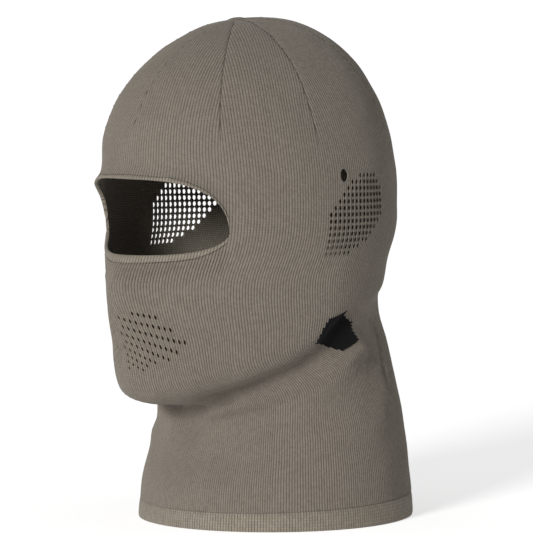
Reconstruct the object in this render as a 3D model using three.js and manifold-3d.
// A knitted ski balaclava in the shape it takes when worn: a tube of fine knit that closes over the
// crown with eight narrowed gores, with one wide eye opening edged by turned hems, a mask that pulls
// down off the nose and mouth, open-knit vents over the mouth and ears, a port over each ear for the
// arm of a pair of glasses, a neck tube with a turned hem, a knitted-in mark and a care label.
//
// Millimetres, +Z up, the face looks along -Y, and the wearer's left is +X. The fabric is described
// in knit coordinates: u counts wales (columns of stitches) from the front middle towards the
// wearer's left, and t is the height along a wale from the level of the eye opening's corners.

import * as THREE from "three";
import { mergeVertices } from "three/addons/utils/BufferGeometryUtils.js";
import Module from "manifold-3d";

const wasm = await Module();
wasm.setup();

// ---- Driving dimensions -------------------------------------------------------------------------

const halfWales = 152; // columns of stitches from the front middle to the back middle
const goreLines = [0, 33, 68, 110, 152]; // where the crown is narrowed, the same on both sides
const panelWales = 38; // the front, back and side panels are quarters of the round
const fabric = 1.8; // thickness of the knit
const hemFabric = 3.0; // a hem is the same knit turned double
const gap = 0.32; // clearance between neighbouring pieces
const groove = 0.6; // between a hem and the fabric beside it
const hemEnd = 0.6; // wales from the end of the eye opening to the end of its hem
const hemLayer = { thick: hemFabric, rise: 0.6 };

// Rings of the worn shape, from the neck hem up to where the crown starts. Each is a closed curve
// in a tilted plane: t, its centre's height and depth, tilt in degrees (front down), half width,
// reach to the front and to the back, and how much its front narrows.
const ringColumns = ["t", "z", "y", "tilt", "width", "front", "back", "narrow"];
const rings = [
  [-208, -187, 20, 0, 84, 86, 92, 0.02],
  [-176, -156, 19, 4, 81, 82, 91, 0.02],
  [-140, -123, 17, 14, 75, 74, 88, 0.03],
  [-106, -87, 12, 24, 64, 66, 87.5, 0.06],
  [-76, -70, -3, 19, 70, 100, 99, 0.26],
  [-53, -52, -1, 10, 75, 102, 93, 0.27],
  [-25, -28, 0, 2, 79, 103, 91.5, 0.18],
  [0, -3.5, 1, 0, 80.5, 102, 100, 0.05],
  [34, 31, 1, 0, 81, 101, 99, 0.0],
];
const crown = { start: 34, arc: 144, height: 94, lean: 13, tilt: 8, tip: 5.5, backFullness: 0.25 };
const eye = { halfWidth: 35, halfLength: 66, above: 32, below: 12, squareness: 3.5, hem: 5.2 };
const flowEnds = { above: 140, below: 102 }; // where the fabric no longer moves aside
const nose = { reach: 13, height: -38, halfWidth: 19, above: 22, below: 44 };
const levels = { base: -208, neckHem: -194, neckTop: -108, jaw: -72, crown: 36 };
const maskEdge = -72; // the mask is everything in front of this depth, below the eye opening
const earVent = { u0: 69, u1: 98, low: -17, high: 33, slantU: 77, slantLow: 7 };
const port = { y: 2, z: 29, width: 6.4, height: 7.6 };
const mouthVent = { top: -51, bottom: -87, tip: 35, topHalf: 20, bottomHalf: 12, middle: -69 };
const mark = { y: 10, z: -67, radius: 16, sides: 6 };
const label = { width: 34, length: 42, thickness: 0.6, stand: 3.5, z: -112 };

// ---- The worn surface ---------------------------------------------------------------------------

// A smooth curve through the rows of a table, by cubic steps with slopes from the neighbours.
function through(table, column, at) {
  const x = (i) => table[i][0];
  const p = (i) => table[i][column];
  const last = table.length - 1;
  const slope = (i) => {
    const rise = (k) => (p(k + 1) - p(k)) / (x(k + 1) - x(k));
    if (i === 0) return rise(0);
    if (i === last) return rise(last - 1);
    const before = x(i) - x(i - 1);
    const after = x(i + 1) - x(i);
    return (rise(i - 1) * after + rise(i) * before) / (before + after);
  };
  let i = 0;
  while (i < last - 1 && at > x(i + 1)) i += 1;
  const span = x(i + 1) - x(i);
  const k = THREE.MathUtils.clamp((at - x(i)) / span, 0, 1);
  const [k2, k3] = [k * k, k * k * k];
  return (
    (2 * k3 - 3 * k2 + 1) * p(i) +
    (k3 - 2 * k2 + k) * span * slope(i) +
    (3 * k2 - 2 * k3) * p(i + 1) +
    (k3 - k2) * span * slope(i + 1)
  );
}

// The ring at height t: read from the table, or part of the dome above it.
function ringAt(t) {
  const held = Math.min(t, crown.start);
  const ring = {};
  ringColumns.forEach((name, column) => {
    ring[name] = through(rings, column, held);
  });
  if (t > crown.start) {
    const rise = ((t - crown.start) / crown.arc) * (Math.PI / 2);
    const shrink = Math.max(Math.cos(rise), 0.001);
    ring.z += crown.height * Math.sin(rise);
    ring.y -= crown.lean * Math.sin(rise);
    ring.tilt += crown.tilt * Math.sin(rise);
    ring.width *= shrink;
    ring.front *= shrink;
    ring.back *= shrink ** (1 - crown.backFullness * Math.sqrt(shrink));
  }
  return ring;
}

// How far the nose lifts the fabric of the mask.
function noseLift(x, z) {
  const side = x / nose.halfWidth;
  const up = (z - nose.height) / (z > nose.height ? nose.above : nose.below);
  return nose.reach * Math.exp(-side * side - up * up);
}

function pointOnRing(ring, angle) {
  const [c, s] = [Math.cos(angle), Math.sin(angle)];
  const depth = c > 0 ? -ring.front * c : -ring.back * c;
  const tilt = THREE.MathUtils.degToRad(ring.tilt);
  const x = ring.width * s * (1 - ring.narrow * Math.max(c, 0) ** 1.3);
  const z = ring.z + depth * Math.sin(tilt);
  const y = ring.y + depth * Math.cos(tilt);
  return new THREE.Vector3(x, c > 0 ? y - noseLift(x, z) : y, z);
}

// Half of a ring as a list of points with their distance along it, front middle to back middle.
const measured = new Map();
function halfRing(t) {
  const key = t.toFixed(3);
  if (!measured.has(key)) {
    const ring = ringAt(t);
    const steps = 120;
    const points = [];
    for (let i = 0; i <= steps; i += 1) points.push(pointOnRing(ring, (Math.PI * i) / steps));
    const along = [0];
    for (let i = 1; i <= steps; i += 1) along.push(along[i - 1] + points[i].distanceTo(points[i - 1]));
    measured.set(key, { points, along });
  }
  return measured.get(key);
}

// Wales are evenly spaced round every ring, so u is a share of the way round it.
function onSurface(u, height) {
  const { points, along } = halfRing(height);
  const wrapped = THREE.MathUtils.euclideanModulo(u + halfWales, 2 * halfWales) - halfWales;
  const target = (Math.abs(wrapped) / halfWales) * along[along.length - 1];
  let i = 0;
  while (i < along.length - 2 && along[i + 1] < target) i += 1;
  const k = (target - along[i]) / (along[i + 1] - along[i]);
  const p = points[i].clone().lerp(points[i + 1], k);
  if (wrapped < 0) p.x = -p.x;
  return p;
}

// How far the knit moves aside at a place, as a share of what it does in the middle of the slit.
// It is the flow round a slit, squared off: nothing at the slit's ends, and less with distance.
function opened(u, t) {
  const across = u / eye.halfWidth;
  const away = Math.abs(t) / eye.halfLength;
  const real = across * across - away * away - 1;
  const size = Math.hypot(real, 2 * across * away);
  const share = THREE.MathUtils.clamp(Math.sqrt(Math.max((size - real) / 2, 0)) - away, 0, 1);
  const fade = 1 - Math.abs(t) / (t > 0 ? flowEnds.above : flowEnds.below);
  return Math.sqrt(1 - (1 - share * share) ** (eye.squareness / 2)) * Math.max(fade, 0);
}

// The opening is a slit at t = 0 that the face spreads to an oval.
function openedHeight(u, t) {
  return t + (t > 0 ? eye.above : -eye.below) * opened(u, t);
}

function fabricPoint(u, t) {
  return onSurface(u, openedHeight(u, t));
}

// The direction out of the fabric, from places on the same side of the slit.
function fabricNormal(u, t) {
  const step = 0.4;
  const near = t < 0 ? Math.min(t, -1.5 * step) : Math.max(t, 1.5 * step);
  const across = fabricPoint(u + step, near).sub(fabricPoint(u - step, near));
  const up = fabricPoint(u, near + step).sub(fabricPoint(u, near - step));
  return across.cross(up).normalize();
}

// ---- Solids -------------------------------------------------------------------------------------

// A closed solid between an outer and an inner sheet of points, each nu + 1 by nt + 1. A closed
// ring joins its last column to its first.
function sheetSolid(nu, nt, closed, outerAt, innerAt) {
  const position = [];
  const columns = closed ? nu : nu + 1;
  for (const at of [outerAt, innerAt])
    for (let j = 0; j <= nt; j += 1)
      for (let i = 0; i < columns; i += 1) position.push(...at(i / nu, j / nt).toArray());
  const layer = columns * (nt + 1);
  const id = (i, j, inner) => (inner ? layer : 0) + j * columns + (i % columns);
  const index = [];
  const quad = (a, b, c, d) => index.push(a, b, c, a, c, d);
  for (let j = 0; j < nt; j += 1)
    for (let i = 0; i < nu; i += 1) {
      quad(id(i, j), id(i + 1, j), id(i + 1, j + 1), id(i, j + 1));
      quad(id(i, j, 1), id(i, j + 1, 1), id(i + 1, j + 1, 1), id(i + 1, j, 1));
    }
  for (let i = 0; i < nu; i += 1) {
    quad(id(i, 0, 1), id(i + 1, 0, 1), id(i + 1, 0), id(i, 0));
    quad(id(i, nt), id(i + 1, nt), id(i + 1, nt, 1), id(i, nt, 1));
  }
  if (!closed)
    for (let j = 0; j < nt; j += 1) {
      quad(id(0, j), id(0, j + 1), id(0, j + 1, 1), id(0, j, 1));
      quad(id(nu, j, 1), id(nu, j + 1, 1), id(nu, j + 1), id(nu, j));
    }
  const geometry = new THREE.BufferGeometry();
  geometry.setAttribute("position", new THREE.Float32BufferAttribute(position, 3));
  geometry.setIndex(index);
  return geometry;
}

// A panel of fabric: place(a, b) gives its [u, t] for a and b from 0 to 1. rise stands its outer
// face proud of the surface, and an upright panel's thickness is level, so that its foot is flat.
function panel(place, nu, nt, { thick = fabric, rise = 0, closed = false, upright = false } = {}) {
  const at = (offset) => (a, b) => {
    const [u, t] = place(a, b);
    const out = fabricNormal(u, t);
    if (upright) out.setZ(0).normalize();
    return fabricPoint(u, t).addScaledVector(out, offset);
  };
  return sheetSolid(nu, nt, closed, at(rise), at(rise - thick));
}

function toSolid(geometry) {
  const bare = (geometry.index ? geometry.toNonIndexed() : geometry).clone();
  bare.deleteAttribute("normal");
  bare.deleteAttribute("uv");
  const merged = mergeVertices(bare, 1e-4);
  return new wasm.Manifold(
    new wasm.Mesh({
      numProp: 3,
      vertProperties: merged.attributes.position.array,
      triVerts: new Uint32Array(merged.index.array),
    }),
  );
}

function toGeometry(solid) {
  const { vertProperties, triVerts } = solid.getMesh();
  const geometry = new THREE.BufferGeometry();
  geometry.setAttribute("position", new THREE.BufferAttribute(new Float32Array(vertProperties), 3));
  geometry.setIndex(new THREE.BufferAttribute(new Uint32Array(triVerts), 1));
  return geometry;
}

// An outline, drawn anticlockwise, moved outwards by margin.
function grown(outline, margin) {
  const count = outline.length;
  const outward = (from, to) => {
    const edge = to.clone().sub(from).normalize();
    return new THREE.Vector2(edge.y, -edge.x);
  };
  return outline.map((p, i) => {
    const before = outward(outline[(i + count - 1) % count], p);
    const after = outward(p, outline[(i + 1) % count]);
    const corner = before.clone().add(after).normalize();
    return p.clone().addScaledVector(corner, margin / corner.dot(after));
  });
}

// A prism that cuts through one wall: an outline in the plane across the cut, grown by margin, and
// pushed along X (for the ears) or along -Y (for the mouth).
function prism(outline, margin, from, to, alongX) {
  const options = { depth: to - from, bevelEnabled: false };
  const geometry = new THREE.ExtrudeGeometry(new THREE.Shape(grown(outline, margin)), options);
  geometry.rotateX(Math.PI / 2); // the outline's second axis stands up, and the depth runs to -Y
  if (alongX) geometry.rotateZ(Math.PI / 2); // the depth runs to +X, and the first axis to +Y
  geometry.translate(alongX ? from : 0, alongX ? 0 : -from, 0);
  return toSolid(geometry);
}

// ---- Pieces -------------------------------------------------------------------------------------

const goreColumns = 6; // mesh columns across a gore or a quarter of the round
const rowPitch = 12; // height of a mesh row
const rowsIn = (low, high) => Math.round((high - low) / rowPitch);
const trim = ((gap / 2) * halfWales) / halfRing(0).along.at(-1); // half the clearance, in wales

// A rectangular panel in knit coordinates, drawn in by half the clearance on each side.
function zone(u0, u1, t0, t1) {
  return (a, b) => [
    u0 + trim + (u1 - u0 - 2 * trim) * a,
    t0 + gap / 2 + (t1 - t0 - gap) * b,
  ];
}

// The clearance at a gore's edges, in wales, which takes more of them as the dome narrows.
function goreMargin(t) {
  const rise = ((t - crown.start) / crown.arc) * (Math.PI / 2);
  return trim / Math.max(Math.cos(rise), 0.05);
}

function crownGore(from, to) {
  const low = levels.crown + gap / 2;
  const high = crown.start + crown.arc - crown.tip;
  const place = (a, b) => {
    const t = low + (high - low) * b;
    const margin = goreMargin(t);
    return [from + margin + (to - from - 2 * margin) * a, t];
  };
  return panel(place, goreColumns, 9);
}

// The last stitches are drawn together on one thread, which leaves a small round pucker.
function crownClosure() {
  const tip = fabricPoint(0, crown.start + crown.arc - 0.01);
  const rim = ringAt(crown.start + crown.arc - crown.tip - gap);
  const profile = [
    new THREE.Vector2(0, -fabric),
    new THREE.Vector2(0.86, -fabric),
    new THREE.Vector2(1, -fabric * 0.4),
    new THREE.Vector2(0.75, 0.3),
    new THREE.Vector2(0, 0.8),
  ];
  const geometry = new THREE.LatheGeometry(profile, 16);
  geometry.scale(rim.width * 0.94 - gap, 1, rim.front * 0.94 - gap);
  geometry.rotateX(Math.PI / 2 + THREE.MathUtils.degToRad(rim.tilt));
  geometry.translate(tip.x, tip.y, tip.z);
  return geometry;
}

// The hem narrows towards the eye opening's corners.
function hemReach(u) {
  const rest = 1 - (u / eye.halfWidth) ** 2;
  return eye.hem * Math.min(1, 0.45 + 1.3 * rest);
}

// Wales to either side of the front middle, closer together towards the ends, where the opening
// curves most.
function spreadColumns(half, count) {
  return Array.from({ length: count + 1 }, (_, i) => half * Math.sin(Math.PI * (i / count - 0.5)));
}

function foreheadPanel() {
  const edge = panelWales - trim;
  const columns = [-edge, ...spreadColumns(eye.halfWidth - hemEnd, 16), edge];
  const place = (a, b) => {
    const u = columns[Math.round(a * (columns.length - 1))];
    const low = Math.abs(u) < edge ? hemReach(u) + groove : gap / 2;
    return [u, low + (levels.crown - gap - low) * b];
  };
  return panel(place, columns.length - 1, 4);
}

function upperEyeHem() {
  const columns = spreadColumns(eye.halfWidth - hemEnd, 16);
  const place = (a, b) => {
    const u = columns[Math.round(a * (columns.length - 1))];
    return [u, gap / 2 + (hemReach(u) - gap / 2) * b];
  };
  return panel(place, 16, 2, hemLayer);
}

function lowerEyeHem() {
  const columns = spreadColumns(maskHalf(0, maskEdge - gap / 2 - hemFabric / 2), 16);
  const place = (a, b) => {
    const u = columns[Math.round(a * (columns.length - 1))];
    return [u, -hemReach(u) + (hemReach(u) - gap / 2) * b];
  };
  return panel(place, 16, 2, hemLayer);
}

// The wale where a row of the mask meets the depth that parts it from the cheeks.
function maskHalf(t, edge) {
  let [inside, outside] = [0, panelWales * 1.5];
  if (fabricPoint(0, t).y > edge) return 0;
  for (let i = 0; i < 30; i += 1) {
    const middle = (inside + outside) / 2;
    if (fabricPoint(middle, t).y < edge) inside = middle;
    else outside = middle;
  }
  return inside;
}

// The lowest row under the chin that is still in front of that depth, on one wale.
function chinLow(u, edge) {
  let [inside, outside] = [levels.jaw, levels.neckTop];
  if (fabricPoint(u, inside).y > edge) return levels.jaw;
  for (let i = 0; i < 30; i += 1) {
    const middle = (inside + outside) / 2;
    if (fabricPoint(u, middle).y < edge) inside = middle;
    else outside = middle;
  }
  return inside;
}

function maskPanel() {
  const edge = maskEdge - gap / 2 - fabric * 0.5;
  const bottom = levels.jaw + gap / 2;
  const place = (a, b) => {
    const u = maskHalf(bottom * (1 - b), edge) * Math.sin(Math.PI * (a - 0.5));
    const top = -hemReach(u) - groove;
    return [u, bottom + (top - bottom) * b];
  };
  return panel(place, 16, 10);
}

function chinCup() {
  const edge = maskEdge - gap / 2 - fabric * 0.5;
  const half = maskHalf(levels.jaw, edge) * 0.9;
  const top = levels.jaw - gap / 2;
  const place = (a, b) => {
    const u = half * Math.sin(Math.PI * (a - 0.5));
    const low = Math.min(chinLow(u, edge), top - 0.8);
    return [u, low + (top - low) * b];
  };
  return panel(place, 12, 4);
}

function cheekPanel(sign) {
  const edge = maskEdge + gap / 2;
  const bottom = levels.jaw + gap / 2;
  const place = (a, b) => {
    const t = bottom + (-gap / 2 - bottom) * b;
    const inner = maskHalf(t, edge) + trim;
    const outer = panelWales - trim;
    return sign > 0
      ? [inner + (outer - inner) * a, t]
      : [-outer + (outer - inner) * a, t];
  };
  return panel(place, 3, rowsIn(levels.jaw, 0));
}

function underChinPanel() {
  const edge = maskEdge + gap / 2 + fabric * 0.5;
  const half = panelWales - 3 * trim;
  const bottom = levels.neckTop + gap / 2;
  const place = (a, b) => {
    const u = -half + 2 * half * a;
    const top = Math.min(chinLow(u, edge), levels.jaw) - gap;
    return [u, bottom + (top - bottom) * b];
  };
  return panel(place, 2 * goreColumns, rowsIn(levels.neckTop, levels.jaw));
}

function sidePanel(sign) {
  const [from, to] = [panelWales, 3 * panelWales];
  const place = sign > 0
    ? zone(from, to, levels.neckTop, levels.crown)
    : zone(-to, -from, levels.neckTop, levels.crown);
  return toSolid(panel(place, 2 * goreColumns, rowsIn(levels.neckTop, levels.crown)));
}

function earVentOutline() {
  const at = (u, z) => new THREE.Vector2(fabricPoint(u, z).y, z);
  const v = earVent;
  return [
    at(v.u0, v.low),
    at(v.u0 + 14, v.low),
    at(v.u1 - 4, v.low + 12),
    at(v.u1, v.low + 24),
    at(v.u1, v.high - 6),
    at(v.u1 - 6, v.high + 1),
    at(v.slantU + 4, v.high),
    new THREE.Vector2(port.y + 5, port.z + 6.5),
    new THREE.Vector2(port.y - 4, port.z + 6.5),
    new THREE.Vector2(port.y - 6, port.z - 2),
    at(v.u0, v.slantLow),
  ];
}

function portOutline() {
  const curve = new THREE.EllipseCurve(port.y, port.z, port.width / 2, port.height / 2);
  return curve.getPoints(12).slice(0, -1);
}

function markOutline() {
  const outline = [];
  for (let i = 0; i < mark.sides; i += 1) {
    const angle = (2 * Math.PI * i) / mark.sides;
    outline.push(
      new THREE.Vector2(mark.y + mark.radius * Math.cos(angle), mark.z + mark.radius * Math.sin(angle)),
    );
  }
  return outline;
}

function mouthVentOutline() {
  const m = mouthVent;
  const right = [
    [m.bottomHalf, m.bottom],
    [m.tip * 0.78, m.middle - 10],
    [m.tip, m.middle - 2],
    [m.tip * 0.86, m.middle + 5],
    [m.topHalf, m.top],
  ];
  const left = right.map(([x, z]) => [-x, z]).reverse();
  return [...right, ...left].map(([x, z]) => new THREE.Vector2(x, z));
}

function careLabel() {
  const top = fabricPoint(halfWales, backRow(label.z));
  const y = top.y - fabric - label.stand;
  const geometry = new THREE.BoxGeometry(label.width, label.thickness, label.length);
  geometry.translate(0, y, label.z - label.length / 2);
  return geometry;
}

// The row whose back middle lies at height z.
function backRow(z) {
  let [low, high] = [levels.base, 0];
  for (let i = 0; i < 30; i += 1) {
    const middle = (low + high) / 2;
    if (onSurface(halfWales, middle).z < z) low = middle;
    else high = middle;
  }
  return low;
}

// ---- Assembly -----------------------------------------------------------------------------------

const yarn = new THREE.MeshStandardMaterial({ color: 0x8b8275, roughness: 0.95 });
const hemYarn = new THREE.MeshStandardMaterial({ color: 0x938a7d, roughness: 0.93 });
const openYarn = new THREE.MeshStandardMaterial({ color: 0x82796d, roughness: 0.95 });
const blackYarn = new THREE.MeshStandardMaterial({ color: 0x141414, roughness: 0.95 });
const satin = new THREE.MeshStandardMaterial({ color: 0xe9e7e2, roughness: 0.6 });

const balaclava = new THREE.Group();

function add(name, geometry, material) {
  const mesh = new THREE.Mesh(geometry, material);
  mesh.name = name;
  balaclava.add(mesh);
}

const goreNames = ["front", "temple", "rear", "back"];
goreNames.forEach((name, i) => {
  const [near, far] = [goreLines[i], goreLines[i + 1]];
  add(`crown_gore_${name}_left`, crownGore(near, far), yarn);
  add(`crown_gore_${name}_right`, crownGore(-far, -near), yarn);
});
add("crown_closure", crownClosure(), yarn);
add("forehead_panel", foreheadPanel(), yarn);
add("upper_eye_hem", upperEyeHem(), hemYarn);

for (const [prefix, sign] of [["left", 1], ["right", -1]]) {
  const reach = sign > 0 ? [50, 110] : [-110, -50];
  const cut = (outline, margin) => prism(outline, margin, reach[0], reach[1], true);
  let side = sidePanel(sign);
  let vent = side.intersect(cut(earVentOutline(), 0));
  side = side.subtract(cut(earVentOutline(), gap));
  vent = vent.subtract(cut(portOutline(), 0));
  if (sign > 0) {
    add("knitted_mark", toGeometry(side.intersect(cut(markOutline(), 0))), blackYarn);
    side = side.subtract(cut(markOutline(), gap));
  }
  add(`${prefix}_side_panel`, toGeometry(side), yarn);
  add(`${prefix}_ear_vent`, toGeometry(vent), openYarn);
  add(`${prefix}_cheek_panel`, cheekPanel(sign), yarn);
}

const back = zone(3 * panelWales, 5 * panelWales, levels.neckTop, levels.crown);
add("back_panel", panel(back, 2 * goreColumns, rowsIn(levels.neckTop, levels.crown)), yarn);
add("under_chin_panel", underChinPanel(), yarn);

const roundColumns = (2 * halfWales * goreColumns) / panelWales;
const whole = (t0, t1) => (a, b) => [2 * halfWales * a, t0 + (t1 - t0) * b];
const neckRows = whole(levels.neckHem + gap, levels.neckTop - gap / 2);
add("neck_tube", panel(neckRows, roundColumns, 6, { closed: true }), yarn);
const hemRows = whole(levels.base, levels.neckHem);
const hemRound = { ...hemLayer, closed: true, upright: true };
add("neck_hem", panel(hemRows, roundColumns, 2, hemRound), hemYarn);

const mask = toSolid(maskPanel());
add("mask_panel", toGeometry(mask.subtract(prism(mouthVentOutline(), gap, 60, 140, false))), yarn);
add("mouth_vent", toGeometry(mask.intersect(prism(mouthVentOutline(), 0, 60, 140, false))), openYarn);
add("chin_cup", chinCup(), yarn);
add("lower_eye_hem", lowerEyeHem(), hemYarn);
add("care_label", careLabel(), satin);

// The origin is on the surface the neck hem stands on, under the middle of the whole.
const box = new THREE.Box3().setFromObject(balaclava);
balaclava.position.set(-(box.min.x + box.max.x) / 2, -(box.min.y + box.max.y) / 2, -box.min.z);

export default balaclava;
